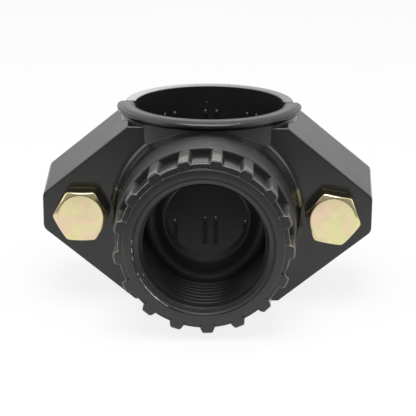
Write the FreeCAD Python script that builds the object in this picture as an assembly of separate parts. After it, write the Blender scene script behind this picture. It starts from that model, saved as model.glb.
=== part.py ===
"""Tapping saddle for a plastic water pipe: two clamp halves, a ringed screw outlet and two bolts.

Millimetres. The origin is on the pipe's axis, at the middle of the collar. +Z runs along the pipe,
-Y is the way out of the outlet, and +X is to the right for someone who looks into the outlet.
The shapes are made about the point where the pipe's axis meets the outlet's, which lies a little
lower, and are moved to the origin at the end.
"""
import FreeCAD, Part
import math
import os

# Pipe and the two half collars round it
pipe_diameter = 40.0
collar_length = 50.8
outlet_offset = 0.8
saddle_wall = 4.0
strap_wall = 2.7
split_gap = 0.5
saddle_bore_chamfer = 0.8
strap_bore_chamfer = 0.2

# Bead round each end of the front half's collar
lip_wall = 4.9
lip_height = 2.1
lip_rounding = 1.0
lip_end_rounding = 1.1

# Wings of the front half: a hollow box on each side, open at the back
wing_front = 17.4
wing_back = 9.0
wing_end_wall = 10.5
wing_ledge = 3.0
wing_shoulder = 20.9
wing_end_half_height = 4.8
wing_end_rounding = 2.4
wing_edge_rounding = 0.5
wing_growth = 1.6
plate_wall = 4.0
skirt_wall = 2.6
rib_wall = 2.4
rib_height_in_wing = 7.0
web_height_in_wing = 9.0

# Outlet
thread_major_diameter = 33.25
thread_runout = 2.3
thread_step = 0.6
tube_wall = 1.15
tube_setback = 0.2
mouth_chamfer = 1.0
floor_wall = 5.0
floor_rounding = 2.0
port_diameter = 21.4
port_rounding = 0.6

# Boss that carries the outlet: it widens towards the pipe, and its front face stops the ring
boss_length = 36.0
boss_overhang = 0.3
boss_growth = 1.1
boss_edge_rounding = 0.6
boss_flare = 2.0

# Reinforcing ring pressed over the outlet
ring_length = 10.5
ring_press_gap = 0.03
ring_band = 2.2
ring_wall = 3.5
rib_count = 17
rib_height = 1.3
rib_width = 3.4
rib_chamfer = 0.75
rib_setback = 0.15
rib_phase = 7.85

# Rubber seal round the port, in a groove of the pipe wall
seal_inner_diameter = 26.0
seal_width = 3.3
seal_thickness = 2.3
seal_clearance = 0.1
seal_skim = 0.05
seal_rounding = 0.5

# M8 bolts and nuts
head_boss_gap = 1.5
bolt_diameter = 8.0
bolt_length = 30.0
bolt_tip_chamfer = 0.8
bolt_hole_gap = 0.5
head_across_flats = 13.0
head_height = 5.3
head_face_share = 0.92
spot_face_gap = 0.8
right_head_turn = -10.0
chamfer_slope = 30.0
nut_height = 6.5
nut_turn = 30.0
nut_bore_gap = 0.06
nut_pocket_gap = 0.15
bolt_boss_radius = 7.5

# Strap half: lugs that slide into the wings
lug_clearance = 0.45
lug_wall = 3.5
lug_recess = 0.4
lug_boss_radius = 9.3
lug_boss_gap = 0.3
nut_seat = 3.9
nut_cover = 0.4
strap_rib_height = 2.8
strap_rib_spacing = 14.0
gusset_angle = 40.0

# Grip marks inside the strap: upright bars, each with a pip above it
grip_depth = 0.35
grip_bar_width = 1.3
grip_bar_length = 7.0
grip_pair_angle = 9.1
grip_fan_angle = 35.0
grip_pip_diameter = 1.1
grip_pip_gap = 1.0
grip_tiers = (10.9, -21.1)

# Sizes that follow from those above
pipe_radius = pipe_diameter / 2
collar_bottom = outlet_offset - collar_length / 2
collar_top = outlet_offset + collar_length / 2
wing_top = collar_top - wing_ledge
wing_drop = -collar_bottom
outlet_length = boss_length + ring_length
thread_radius = thread_major_diameter / 2
thread_end = pipe_radius + floor_wall + thread_runout
tube_radius = thread_radius + tube_wall
ring_radius = tube_radius + ring_wall
rib_tip_radius = ring_radius + rib_height
boss_radius = rib_tip_radius + boss_overhang
boss_root_radius = boss_radius + boss_growth
bolt_radius = bolt_diameter / 2
head_circle = head_across_flats / math.sqrt(3)
bolt_x = boss_root_radius + head_boss_gap + head_circle
wing_half_width = bolt_x + wing_end_wall
seal_inner_radius = seal_inner_diameter / 2
seal_outer_radius = seal_inner_radius + seal_width
lug_inset = skirt_wall + lug_clearance
lug_back = wing_back - lug_recess
lug_front = lug_back - lug_wall
tower_back = nut_seat + nut_height + nut_cover
cut_margin = 5.0


def vector(x, y, z):
    return FreeCAD.Vector(x, y, z)


def upright_cylinder(radius, bottom=collar_bottom, top=collar_top):
    """Cylinder about the pipe's axis."""
    return Part.makeCylinder(radius, top - bottom, vector(0, 0, bottom))


def outlet_cylinder(radius, front, back, x=0.0):
    """Cylinder parallel to the outlet's axis, between two planes of constant y."""
    return Part.makeCylinder(radius, back - front, vector(x, front, 0), vector(0, 1, 0))


def box(x_range, y_range, z_range):
    low = vector(x_range[0], y_range[0], z_range[0])
    size = [pair[1] - pair[0] for pair in (x_range, y_range, z_range)]
    return Part.makeBox(size[0], size[1], size[2], low)


def revolved(points, axis):
    """Solid turned from a closed outline of (radius, place along the axis) points.

    A point with four numbers ends an arc: radius and place of a point on the arc, then of its end.
    """
    def place(radius, along):
        if axis == "y":
            return vector(radius, along, 0)
        return vector(radius, 0, along)

    edges = []
    last = points[-1][-2:]
    for point in points:
        end = point[-2:]
        if len(point) == 4:
            edges.append(Part.Arc(place(*last), place(*point[:2]), place(*end)).toShape())
        else:
            edges.append(Part.LineSegment(place(*last), place(*end)).toShape())
        last = end
    direction = vector(0, 1, 0) if axis == "y" else vector(0, 0, 1)
    return Part.Face(Part.Wire(edges)).revolve(vector(0, 0, 0), direction, 360)


def front_side(reach):
    """Block that holds everything on the outlet's side of the split."""
    return box((-reach, reach), (-reach, -split_gap / 2), (-reach, reach))


def back_side(reach):
    return box((-reach, reach), (split_gap / 2, reach), (-reach, reach))


def wing_outline(inset):
    """Corners (x, z) of the wings' eight-sided outline, with its sides moved in by the inset.

    A negative inset moves them out, apart from the flat bottom, which stays level with the collar's.
    """
    run = wing_half_width - wing_shoulder
    fall = wing_top - wing_end_half_height
    drop = inset * math.hypot(run, fall) / run
    top = wing_top - inset
    bottom = wing_drop - max(inset, 0)
    side = wing_half_width - inset
    side_z = wing_top - drop - (side - wing_shoulder) * fall / run
    top_x = side - (top - side_z) * run / fall
    bottom_x = side - (bottom - side_z) * run / fall
    right = [(top_x, top), (side, side_z), (side, -side_z), (bottom_x, -bottom)]
    left = [(-x, z) for x, z in reversed(right)]
    return right + left


def wing_block(inset, front, back):
    """Solid block of the wings' outline between two planes, growing backwards with the mould's draft."""
    growth = wing_growth / (wing_front + wing_back)
    rims = []
    for y in (front, back):
        corners = [vector(x, y, z) for x, z in wing_outline(inset - growth * (y + wing_front))]
        rims.append(Part.makePolygon(corners + corners[:1]))
    return Part.makeLoft(rims, True, True)


def rounded_ends(block, radius):
    """Round the four corners at the wings' tips."""
    limit = wing_half_width - skirt_wall - wing_end_rounding
    corners = []
    for edge in block.Edges:
        middle = edge.CenterOfMass
        along_y = abs(edge.tangentAt(edge.FirstParameter).y) > 0.9
        if along_y and abs(middle.x) > limit:
            corners.append(edge)
    return block.makeFillet(radius, corners)


def middle_of(edge):
    return edge.valueAt((edge.FirstParameter + edge.LastParameter) / 2)


def collar_lip(end, inwards):
    """Half-round bead at one end of the front half's collar."""
    outer = pipe_radius + lip_wall
    inner = pipe_radius - 1
    root = end + inwards * lip_height
    bead = revolved([(inner, end), (outer, end), (outer, root), (inner, root)], "z")
    bead = bead.common(front_side(2 * outer))
    upright = []
    for edge in bead.Edges:
        middle = middle_of(edge)
        if math.hypot(middle.x, middle.y) > outer - 0.1 and abs(middle.z - end) > 0.1 < abs(middle.z - root):
            upright.append(edge)
    bead = bead.makeFillet(lip_end_rounding, upright)
    rims = []
    for edge in bead.Edges:
        middle = middle_of(edge)
        on_a_rim = min(abs(middle.z - end), abs(middle.z - root)) < 0.1
        if math.hypot(middle.x, middle.y) > outer - lip_end_rounding and on_a_rim:
            rims.append(edge)
    return bead.makeFillet(lip_rounding, rims)


def boss():
    """Tapered boss with a rounded front edge, flaring into the wings' front faces."""
    edge = boss_edge_rounding
    near = 1 - math.sqrt(0.5)
    seat = -wing_front + plate_wall / 2
    start = -wing_front - boss_flare
    body = revolved([(0, -boss_length), (boss_radius - edge, -boss_length),
                     (boss_radius - edge * near, -boss_length + edge * near, boss_radius, -boss_length + edge),
                     (boss_root_radius, start), (boss_root_radius, seat), (0, seat)], "y")
    foot = boss_root_radius + boss_flare
    flare = revolved([(0, start), (boss_root_radius, start),
                      (boss_root_radius + boss_flare * near, -wing_front - boss_flare * near, foot, -wing_front),
                      (foot, seat), (0, seat)], "y")
    outline = [vector(x, start, z) for x, z in wing_outline(wing_edge_rounding)]
    limits = Part.Face(Part.makePolygon(outline + outline[:1])).extrude(vector(0, seat - start, 0))
    return body.fuse(flare.common(limits))


def mouth():
    """Space inside the outlet: a chamfered mouth, the thread's wall, and behind it a slightly
    narrower end whose floor is curved like the pipe."""
    front = -outlet_length + tube_setback
    wide = thread_radius + mouth_chamfer
    narrow = thread_radius - thread_step
    floor = pipe_radius + floor_wall
    space = revolved([(0, front - 1), (wide, front - 1), (wide, front),
                      (thread_radius, front + mouth_chamfer), (thread_radius, -thread_end),
                      (narrow, -thread_end), (narrow, 0), (0, 0)], "y")
    space = space.cut(upright_cylinder(floor))
    return space.makeFillet(floor_rounding, curved_edges(space, narrow, floor))


def curved_edges(shape, outlet_radius, pipe_side_radius):
    """Edges where a cylinder about the outlet meets a cylinder about the pipe."""
    found = []
    for edge in shape.Edges:
        middle = middle_of(edge)
        on_outlet = abs(math.hypot(middle.x, middle.z) - outlet_radius) < 0.02
        if on_outlet and abs(math.hypot(middle.x, middle.y) - pipe_side_radius) < 0.02:
            found.append(edge)
    return found


def bore_cut(chamfer):
    """Pipe bore through both halves, with a chamfer at each end."""
    wide = pipe_radius + chamfer
    low = collar_bottom
    high = collar_top
    return revolved([(0, low - 1), (wide, low - 1), (wide, low), (pipe_radius, low + chamfer),
                     (pipe_radius, high - chamfer), (wide, high), (wide, high + 1), (0, high + 1)], "z")


def seal_ring(inner, outer, depth, start=0.0):
    """Ring round the outlet's axis that lies on the curved pipe wall."""
    around = outlet_cylinder(outer, -boss_length, 0).cut(outlet_cylinder(inner, -boss_length, 0))
    wall = upright_cylinder(pipe_radius + depth).cut(upright_cylinder(pipe_radius + start))
    return around.common(wall)


def saddle():
    """Front half: collar, hollow wings, boss and outlet in one moulding."""
    reach = wing_half_width + cut_margin
    block = rounded_ends(wing_block(0, -wing_front, wing_back), wing_end_rounding)
    front_rim = [e for e in block.Edges if abs(e.BoundBox.YMax + wing_front) < 0.01]
    block = block.makeFillet(wing_edge_rounding, front_rim)
    cavity = wing_block(skirt_wall, -wing_front + plate_wall, wing_back + 1)
    body = block.cut(cavity)
    slot_half = pipe_radius + strap_wall + split_gap
    body = body.cut(box((-slot_half, slot_half), (-split_gap / 2, reach), (-reach, reach)))

    inside = []
    plate_back = -wing_front + plate_wall
    start = plate_back - 1
    half = rib_wall / 2
    for side in (-1, 1):
        across = sorted((side * pipe_radius, side * wing_half_width))
        middle = side * bolt_x
        web_end = plate_back + web_height_in_wing
        rib_end = plate_back + rib_height_in_wing
        inside.append(outlet_cylinder(bolt_boss_radius, start, -lug_boss_gap, middle))
        inside.append(box(across, (start, web_end), (-half, half)))
        inside.append(box((middle - half, middle + half), (start, rib_end), (-wing_drop, wing_top)))
        for level in (-strap_rib_spacing, strap_rib_spacing):
            inside.append(box(across, (start, rib_end), (level - half, level + half)))
    limits = wing_block(skirt_wall / 2, start - 1, 0)
    for piece in inside:
        body = body.fuse(piece.common(limits))

    collar = upright_cylinder(pipe_radius + saddle_wall).common(front_side(reach))
    body = body.fuse(collar).fuse(boss())
    body = body.fuse(collar_lip(collar_bottom, 1)).fuse(collar_lip(collar_top, -1))
    body = body.fuse(outlet_cylinder(tube_radius, -outlet_length + tube_setback, -boss_length + 1))
    body = body.cut(mouth()).cut(outlet_cylinder(port_diameter / 2, -boss_length, 0))
    body = body.makeFillet(port_rounding, curved_edges(body, port_diameter / 2, pipe_radius + floor_wall))
    body = body.cut(bore_cut(saddle_bore_chamfer))
    body = body.cut(seal_ring(seal_inner_radius - seal_clearance, seal_outer_radius + seal_clearance,
                              seal_thickness + seal_clearance, -1.0))
    for side in (-1, 1):
        spot = outlet_cylinder(head_circle + spot_face_gap, -boss_length - 1, -wing_front, side * bolt_x)
        hole = outlet_cylinder(bolt_radius + bolt_hole_gap, -wing_front - 1, 1, side * bolt_x)
        body = body.cut(spot).cut(hole)
    return body.removeSplitter()


def strap():
    """Back half: a thin half collar with three wrapped ribs and a lug on each side."""
    reach = wing_half_width + cut_margin
    outer = pipe_radius + strap_wall
    body = upright_cylinder(outer).common(back_side(reach))
    body = body.fuse(rounded_ends(wing_block(lug_inset, lug_front, lug_back), wing_end_rounding))
    towers = rounded_ends(wing_block(lug_inset, lug_boss_gap, tower_back), wing_end_rounding)
    rib_radius = outer + strap_rib_height
    turn = math.radians(gusset_angle)
    start = (rib_radius * math.sin(turn), rib_radius * math.cos(turn))
    foot = start[0] + (start[1] - lug_back) / math.tan(turn)
    half = rib_wall / 2
    limits = wing_block(lug_inset, lug_front, rib_radius)
    for level in (-strap_rib_spacing, 0.0, strap_rib_spacing):
        band = upright_cylinder(rib_radius, level - half, level + half).common(back_side(reach))
        body = body.fuse(band)
        for side in (-1, 1):
            corners = [start, (foot, lug_back), (foot, lug_front), (outer * 0.7, lug_front), (0, start[1])]
            points = [vector(side * x, y, level - half) for x, y in corners]
            gusset = Part.Face(Part.makePolygon(points + points[:1])).extrude(vector(0, 0, rib_wall))
            body = body.fuse(gusset.common(limits))
    for side in (-1, 1):
        tower = outlet_cylinder(lug_boss_radius, lug_boss_gap, tower_back, side * bolt_x).common(towers)
        body = body.fuse(tower)
        web = box(sorted((side * pipe_radius, side * bolt_x)), (lug_boss_gap, lug_back), (-half, half))
        body = body.fuse(web)
    for side in (-1, 1):
        pocket = hexagon(head_across_flats + 2 * nut_pocket_gap, nut_seat, tower_back + 1, nut_turn)
        pocket.translate(vector(side * bolt_x, 0, 0))
        hole = outlet_cylinder(bolt_radius + bolt_hole_gap, -1, nut_seat + 1, side * bolt_x)
        body = body.cut(pocket).cut(hole)
    body = body.cut(bore_cut(strap_bore_chamfer))
    return body.cut(grip_marks()).removeSplitter()


def grip_marks():
    """Shallow bars and pips pressed into the strap's wall, in pairs on two levels."""
    marks = []
    for level in grip_tiers:
        for fan in (-grip_fan_angle, 0.0, grip_fan_angle):
            for side in (-0.5, 0.5):
                angle = fan + side * grip_pair_angle
                half = grip_bar_width / 2
                bar = box((-half, half), (pipe_radius - 1, pipe_radius + grip_depth),
                          (level, level + grip_bar_length))
                above = level + grip_bar_length + grip_pip_gap
                pip = Part.makeCylinder(grip_pip_diameter / 2, 1 + grip_depth,
                                        vector(0, pipe_radius - 1, above), vector(0, 1, 0))
                for mark in (bar, pip):
                    mark.rotate(vector(0, 0, 0), vector(0, 0, 1), -angle)
                    marks.append(mark)
    return Part.makeCompound(marks)


def hexagon(across_flats, front, back, turn):
    """Hexagonal prism along y; with no turn it has a corner towards +X."""
    corner = across_flats / math.sqrt(3)
    points = []
    for i in range(6):
        angle = math.radians(60 * i + turn)
        points.append(vector(corner * math.cos(angle), front, corner * math.sin(angle)))
    return Part.Face(Part.makePolygon(points + points[:1])).extrude(vector(0, back - front, 0))


def chamfer_cone(across_flats, front, back):
    """Turned blank that takes the corners off a hexagon at its front end, at 30 degrees."""
    flat = across_flats / 2 * head_face_share
    corner = across_flats / math.sqrt(3) + 1
    depth = (corner - flat) * math.tan(math.radians(chamfer_slope))
    return revolved([(0, front), (flat, front), (corner, front + depth), (corner, back), (0, back)], "y")


def reinforcing_ring():
    """Ribbed ring: a plain band, stepped back behind its front edge, with ribs along it."""
    back = -boss_length
    inner = tube_radius + ring_press_gap
    band_edge = tube_radius + ring_band
    step = ring_radius - band_edge
    blank = revolved([(inner, -outlet_length), (band_edge, -outlet_length),
                      (ring_radius, -outlet_length + step), (ring_radius, back), (inner, back)], "y")
    front = -outlet_length + rib_setback
    tip = rib_tip_radius
    half = rib_width / 2
    section = [(-half, band_edge), (-half, tip - rib_chamfer), (-half + rib_chamfer, tip),
               (half - rib_chamfer, tip), (half, tip - rib_chamfer), (half, band_edge)]
    points = [vector(x, front, z) for x, z in section]
    rib = Part.Face(Part.makePolygon(points + points[:1])).extrude(vector(0, back - front, 0))
    nose = revolved([(0, front), (tip - rib_chamfer, front), (tip, front + rib_chamfer),
                     (tip, back), (0, back)], "y")
    rib = rib.common(nose)
    ribs = []
    for i in range(rib_count):
        copy = rib.copy()
        copy.rotate(vector(0, 0, 0), vector(0, 1, 0), rib_phase + i * 360.0 / rib_count)
        ribs.append(copy)
    return blank.multiFuse(ribs).removeSplitter()


def seal():
    """Moulded seal that follows the pipe's curve."""
    ring = seal_ring(seal_inner_radius, seal_outer_radius, seal_thickness, seal_skim)
    return ring.makeFillet(seal_rounding, ring.Edges)


def bolt(side, turn):
    """Hexagon-headed bolt: head against the wing's front face, tip past the nut."""
    head = hexagon(head_across_flats, -wing_front - head_height, -wing_front, turn)
    head = head.common(chamfer_cone(head_across_flats, -wing_front - head_height, -wing_front))
    tip = -wing_front + bolt_length
    shank = revolved([(0, -wing_front - 1), (bolt_radius, -wing_front - 1),
                      (bolt_radius, tip - bolt_tip_chamfer), (bolt_radius - bolt_tip_chamfer, tip),
                      (0, tip)], "y")
    whole = head.fuse(shank).removeSplitter()
    whole.translate(vector(side * bolt_x, 0, 0))
    return whole


def nut(side):
    """Hexagon nut in the strap's pocket, flat face forward and chamfered face to the back."""
    back = nut_seat + nut_height
    body = hexagon(head_across_flats, nut_seat, back, nut_turn)
    cone = chamfer_cone(head_across_flats, -back, -nut_seat)
    cone.rotate(vector(0, 0, 0), vector(0, 0, 1), 180)
    body = body.common(cone)
    body = body.cut(outlet_cylinder(bolt_radius + nut_bore_gap, nut_seat - 1, back + 1))
    body.translate(vector(side * bolt_x, 0, 0))
    return body


def main():
    os.makedirs("parts", exist_ok=True)
    pieces = {
        "saddle_half": saddle(),
        "strap_half": strap(),
        "reinforcing_ring": reinforcing_ring(),
        "seal": seal(),
        "left_bolt": bolt(-1, 0.0),
        "right_bolt": bolt(1, right_head_turn),
        "left_nut": nut(-1),
        "right_nut": nut(1),
    }
    for name, shape in pieces.items():
        shape.translate(vector(0, 0, -outlet_offset))
        shape.exportStep("parts/" + name + ".step")
        print(name, "solids", len(shape.Solids), "valid", shape.isValid(), "volume", round(shape.Volume, 1))


main()
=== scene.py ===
# %% [markdown]
# # A tapping saddle on a white table
#
# The object is a black plastic clamp that bolts round a 40 mm water pipe and gives it a screwed
# branch. It stands with the pipe's bore upright. Its two plastic halves and the rubber seal are
# finished solids, so the script only gives them their surfaces. It makes new meshes for what is
# too fine for the solids: the screw thread in the outlet and the rim of its mouth, the bolts with
# their threads, the nuts with their chamfers, the ribbed ring with its rounded edges, the torn
# flash in the seam between ring and outlet, and the pips of the grip marks inside the strap.

# %% Load the fixed frame
import math
import bpy
import numpy as np
from mathutils import Matrix, Vector


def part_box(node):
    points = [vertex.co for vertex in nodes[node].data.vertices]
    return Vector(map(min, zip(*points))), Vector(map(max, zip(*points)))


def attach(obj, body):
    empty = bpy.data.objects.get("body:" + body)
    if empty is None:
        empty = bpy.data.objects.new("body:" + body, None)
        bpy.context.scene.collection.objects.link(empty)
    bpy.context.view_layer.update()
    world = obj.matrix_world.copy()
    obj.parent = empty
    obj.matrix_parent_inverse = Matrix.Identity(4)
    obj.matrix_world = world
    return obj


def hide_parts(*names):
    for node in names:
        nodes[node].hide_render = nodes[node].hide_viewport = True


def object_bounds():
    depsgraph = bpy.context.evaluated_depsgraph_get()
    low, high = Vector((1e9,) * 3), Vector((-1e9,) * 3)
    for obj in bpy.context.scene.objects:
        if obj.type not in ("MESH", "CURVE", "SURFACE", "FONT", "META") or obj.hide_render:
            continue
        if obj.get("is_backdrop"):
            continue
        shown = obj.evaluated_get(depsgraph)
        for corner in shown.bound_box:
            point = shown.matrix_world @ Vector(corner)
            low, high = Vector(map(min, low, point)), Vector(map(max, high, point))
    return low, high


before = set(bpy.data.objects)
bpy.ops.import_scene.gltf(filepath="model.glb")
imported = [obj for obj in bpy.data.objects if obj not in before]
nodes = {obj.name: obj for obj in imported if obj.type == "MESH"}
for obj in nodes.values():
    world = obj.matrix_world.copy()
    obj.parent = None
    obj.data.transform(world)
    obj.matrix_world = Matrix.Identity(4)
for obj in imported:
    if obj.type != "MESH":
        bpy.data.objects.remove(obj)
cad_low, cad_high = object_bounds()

print("nodes:", sorted(nodes))
print("size in mm:", [round(1000 * side, 1) for side in cad_high - cad_low])

# %% [markdown]
# ## Units and driving sizes
#
# Blender works in metres, and fittings are drawn in millimetres, so every size is written in
# millimetres times MM. What the solids already fix is read from their boxes, so that the meshes
# made here follow them.

# %% Driving sizes
MM = 0.001
saddle_low, saddle_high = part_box("saddle_half")
ring_low, ring_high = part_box("reinforcing_ring")
bolt_low, bolt_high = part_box("right_bolt")

outlet_front = saddle_low.y
ring_front = ring_low.y
thread_wall_radius = 16.625 * MM
pipe_radius = 20 * MM
lip_bottom = saddle_high.z - 2.1 * MM
lip_wall = 4.9 * MM
tube_radius = 17.775 * MM
bolt_axis_x = (bolt_low.x + bolt_high.x) / 2
outlet_z = (bolt_low.z + bolt_high.z) / 2
print("outlet front at y =", round(outlet_front / MM, 2), "mm")
print("outlet axis at z =", round(outlet_z / MM, 2), "mm")
print("bolt axes at x = +-", round(bolt_axis_x / MM, 2), "mm")

# %% [markdown]
# ## The camera
#
# The picture was taken a little above the outlet with a long lens, about 0.4 m away. The camera
# is placed by its direction, its distance and the point that it looks at. Its axes are worked
# out as three unit vectors, which become the columns of the camera's matrix. A last turn about
# the line of sight gives the slight tilt of the picture.

# %% Camera
camera_azimuth = math.radians(1.52)
camera_elevation = math.radians(17.15)
camera_roll = math.radians(0.30)
camera_distance = 400 * MM
camera_target = Vector((-0.22 * MM, 0, -4.8 * MM))
camera_lens = 125.1


def camera_matrix(azimuth, elevation, roll, distance, target):
    """Back = (sin a cos e, -cos a cos e, sin e); right and up are square to it and rolled."""
    back = Vector((math.sin(azimuth) * math.cos(elevation),
                   -math.cos(azimuth) * math.cos(elevation),
                   math.sin(elevation)))
    level = Vector((0, 0, 1)).cross(back).normalized()
    above = back.cross(level)
    right = level * math.cos(roll) + above * math.sin(roll)
    up = above * math.cos(roll) - level * math.sin(roll)
    place = target + back * distance
    return Matrix((right, up, back)).transposed().to_4x4(), place


camera = bpy.data.objects.new("camera", bpy.data.cameras.new("camera"))
bpy.context.scene.collection.objects.link(camera)
turned, place = camera_matrix(camera_azimuth, camera_elevation, camera_roll,
                              camera_distance, camera_target)
camera.matrix_world = Matrix.Translation(place) @ turned
camera.data.lens = camera_lens
camera.data.sensor_width = 36
camera.data.clip_start = 10 * MM
camera.data.clip_end = 20
bpy.context.scene.camera = camera
print("camera at", [round(v, 4) for v in camera.location])

# %% [markdown]
# ## Node helpers
#
# A finish is a small graph of nodes. Short helpers keep the graphs readable: one adds a node and
# sets its values by socket name, and the others build the patterns that every finish here uses,
# such as clouds, a change of range, a mix of two colours and a bump.

# %% Node helpers
def new_finish(name):
    """An empty material with its shader, and the coordinates that patterns are read from."""
    material = bpy.data.materials.new(name)
    material.use_nodes = True
    tree = material.node_tree
    shader = tree.nodes["Principled BSDF"]
    place = tree.nodes.new("ShaderNodeTexCoord")
    return material, tree, shader, place.outputs["Object"]


def add_node(tree, kind, settings=None, **values):
    """Add a node, set its own options from settings and its sockets from the other names."""
    node = tree.nodes.new("ShaderNode" + kind)
    for key, value in (settings or {}).items():
        setattr(node, key, value)
    for key, value in values.items():
        node.inputs[key.replace("_", " ")].default_value = value
    return node


def noise(tree, place, scale, detail=2.0, roughness=0.5):
    """Cloudy pattern; the scale is in clouds per metre."""
    node = add_node(tree, "TexNoise", Scale=scale, Detail=detail, Roughness=roughness)
    tree.links.new(place, node.inputs["Vector"])
    return node.outputs["Fac"]


def remap(tree, value, low, high, to_low, to_high):
    """Stretch the part of a pattern between low and high over a new range, held at its ends."""
    node = add_node(tree, "MapRange", {"clamp": True}, From_Min=low, From_Max=high, To_Min=to_low,
                    To_Max=to_high)
    tree.links.new(value, node.inputs["Value"])
    return node.outputs["Result"]


def clouds(tree, place, scale, detail, between, to=(0, 1), roughness=0.5):
    """Cloudy pattern, of which the part between two levels is stretched over a new range."""
    return remap(tree, noise(tree, place, scale, detail, roughness), *between, *to)


def blend_colours(tree, share, first, second):
    """Mix two colours by a pattern; each may be a colour or a socket."""
    node = add_node(tree, "Mix", {"data_type": "RGBA"})
    for socket, colour in ((node.inputs[6], first), (node.inputs[7], second)):
        if isinstance(colour, bpy.types.NodeSocket):
            tree.links.new(colour, socket)
        else:
            socket.default_value = (*colour, 1)
    tree.links.new(share, node.inputs[0])
    return node.outputs[2]


def bump(tree, height, distance, strength=1.0, normal=None):
    """Tilt the surface by a height pattern; the distance is the height of one unit, in metres."""
    node = add_node(tree, "Bump", Strength=strength, Distance=distance)
    tree.links.new(height, node.inputs["Height"])
    if normal:
        tree.links.new(normal, node.inputs["Normal"])
    return node.outputs["Normal"]


# %% [markdown]
# ## Where a finish changes
#
# Some finishes change from place to place: the cores that shape the inside of the bore and of
# the outlet leave a duller skin than the polished outer mould. A distance from a straight line,
# read in the part's own coordinates, tells these places apart. The lip round the top of the
# collar is soft like a bead, so it gets a wider rounding than the other edges.

# %% Where each place begins and ends
outlet_fade = (tube_radius - 0.2 * MM, tube_radius - 0.05 * MM)
thread_fade = (-31 * MM, -29 * MM)
boss_fade = (-27.5 * MM, -25 * MM)
bore_fade = (pipe_radius + 0.5 * MM, pipe_radius + 0.8 * MM)
lip_fade = (lip_bottom - 0.2 * MM, lip_bottom + 0.2 * MM)
top_highlight_fade = (saddle_high.z - 0.3 * MM, saddle_high.z - 0.1 * MM)
top_highlight_sides = (-20 * MM, 16 * MM)
top_highlight_least = 0.35
mark_begins = (pipe_radius + 0.2 * MM, pipe_radius + 0.3 * MM)
mark_ends = (pipe_radius + 0.5 * MM, pipe_radius + 0.6 * MM)
mark_tops = (saddle_high.z - 2 * MM, saddle_high.z - 1 * MM)
print("lip from z =", round(lip_bottom / MM, 2), "to", round(saddle_high.z / MM, 2), "mm")


# %% Places on the part
def multiply(tree, first, second):
    """Product of two values; each may be a number or a socket."""
    node = add_node(tree, "Math", {"operation": "MULTIPLY"})
    for socket, value in zip(node.inputs, (first, second)):
        if isinstance(value, bpy.types.NodeSocket):
            tree.links.new(value, socket)
        else:
            socket.default_value = value
    return node.outputs[0]


def larger(tree, first, second):
    """The larger of two values."""
    node = add_node(tree, "Math", {"operation": "MAXIMUM"})
    tree.links.new(first, node.inputs[0])
    tree.links.new(second, node.inputs[1])
    return node.outputs[0]


def distance_from_line(tree, place, across, middle):
    """Length of (place - middle) x across; across is 1 on the two axes square to the line."""
    centred = add_node(tree, "VectorMath", {"operation": "SUBTRACT"})
    flat = add_node(tree, "VectorMath", {"operation": "MULTIPLY"})
    length = add_node(tree, "VectorMath", {"operation": "LENGTH"})
    tree.links.new(place, centred.inputs[0])
    centred.inputs[1].default_value = middle
    tree.links.new(centred.outputs[0], flat.inputs[0])
    flat.inputs[1].default_value = across
    tree.links.new(flat.outputs[0], length.inputs[0])
    return length.outputs["Value"]


def from_pipe_axis(tree, place):
    """Distance from the pipe's axis."""
    return distance_from_line(tree, place, (1, 1, 0), (0, 0, 0))


def coordinate(tree, place, letter):
    """One of the three coordinates."""
    parts = add_node(tree, "SeparateXYZ")
    tree.links.new(place, parts.inputs[0])
    return parts.outputs[letter]


def outlet_share(tree, place):
    """1 inside the outlet, 0 elsewhere."""
    from_outlet = distance_from_line(tree, place, (1, 0, 1), (0, 0, outlet_z))
    return remap(tree, from_outlet, *outlet_fade, 1, 0)


def thread_share(tree, place):
    """1 on the wall that carries the thread and on the mouth, 0 behind them."""
    return remap(tree, coordinate(tree, place, "Y"), *thread_fade, 1, 0)


def boss_share(tree, place):
    """1 on the front half of the boss, whose skin is grainier, 0 elsewhere."""
    return remap(tree, coordinate(tree, place, "Y"), *boss_fade, 1, 0)


def bore_share(tree, place):
    """1 on the wall round the pipe, 0 elsewhere."""
    return remap(tree, from_pipe_axis(tree, place), *bore_fade, 1, 0)


def lip_share(tree, place):
    """1 on the lip round the top of the collar, 0 below it."""
    return remap(tree, coordinate(tree, place, "Z"), *lip_fade, 0, 1)


def lip_crown(tree, place):
    """Height of a bead on the lip: share x (2 - t t - u u), t across and u up, both -1 to 1."""
    across = remap(tree, from_pipe_axis(tree, place), pipe_radius, pipe_radius + lip_wall, -1, 1)
    up = remap(tree, coordinate(tree, place, "Z"), lip_bottom, saddle_high.z, -1, 1)
    rounded = [remap(tree, multiply(tree, t, t), 0, 1, 1, 0) for t in (across, up)]
    both = add_node(tree, "Math", {"operation": "ADD"})
    for socket, value in zip(both.inputs, rounded):
        tree.links.new(value, socket)
    return multiply(tree, both.outputs[0], lip_share(tree, place))


def top_end_highlight(tree, place):
    """1 on the strap's top end, which is painted pale as a highlight, most of all on the left."""
    top = remap(tree, coordinate(tree, place, "Z"), *top_highlight_fade, 0, 1)
    left = remap(tree, coordinate(tree, place, "X"), *top_highlight_sides, 1, top_highlight_least)
    return multiply(tree, top, left)


def mark_share(tree, place):
    """1 on the floors of the grip marks, which lie a little behind the strap's wall."""
    from_pipe = from_pipe_axis(tree, place)
    deep = remap(tree, from_pipe, *mark_begins, 0, 1)
    near = remap(tree, from_pipe, *mark_ends, 1, 0)
    below = remap(tree, coordinate(tree, place, "Z"), *mark_tops, 1, 0)
    return multiply(tree, multiply(tree, deep, near), below)
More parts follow.
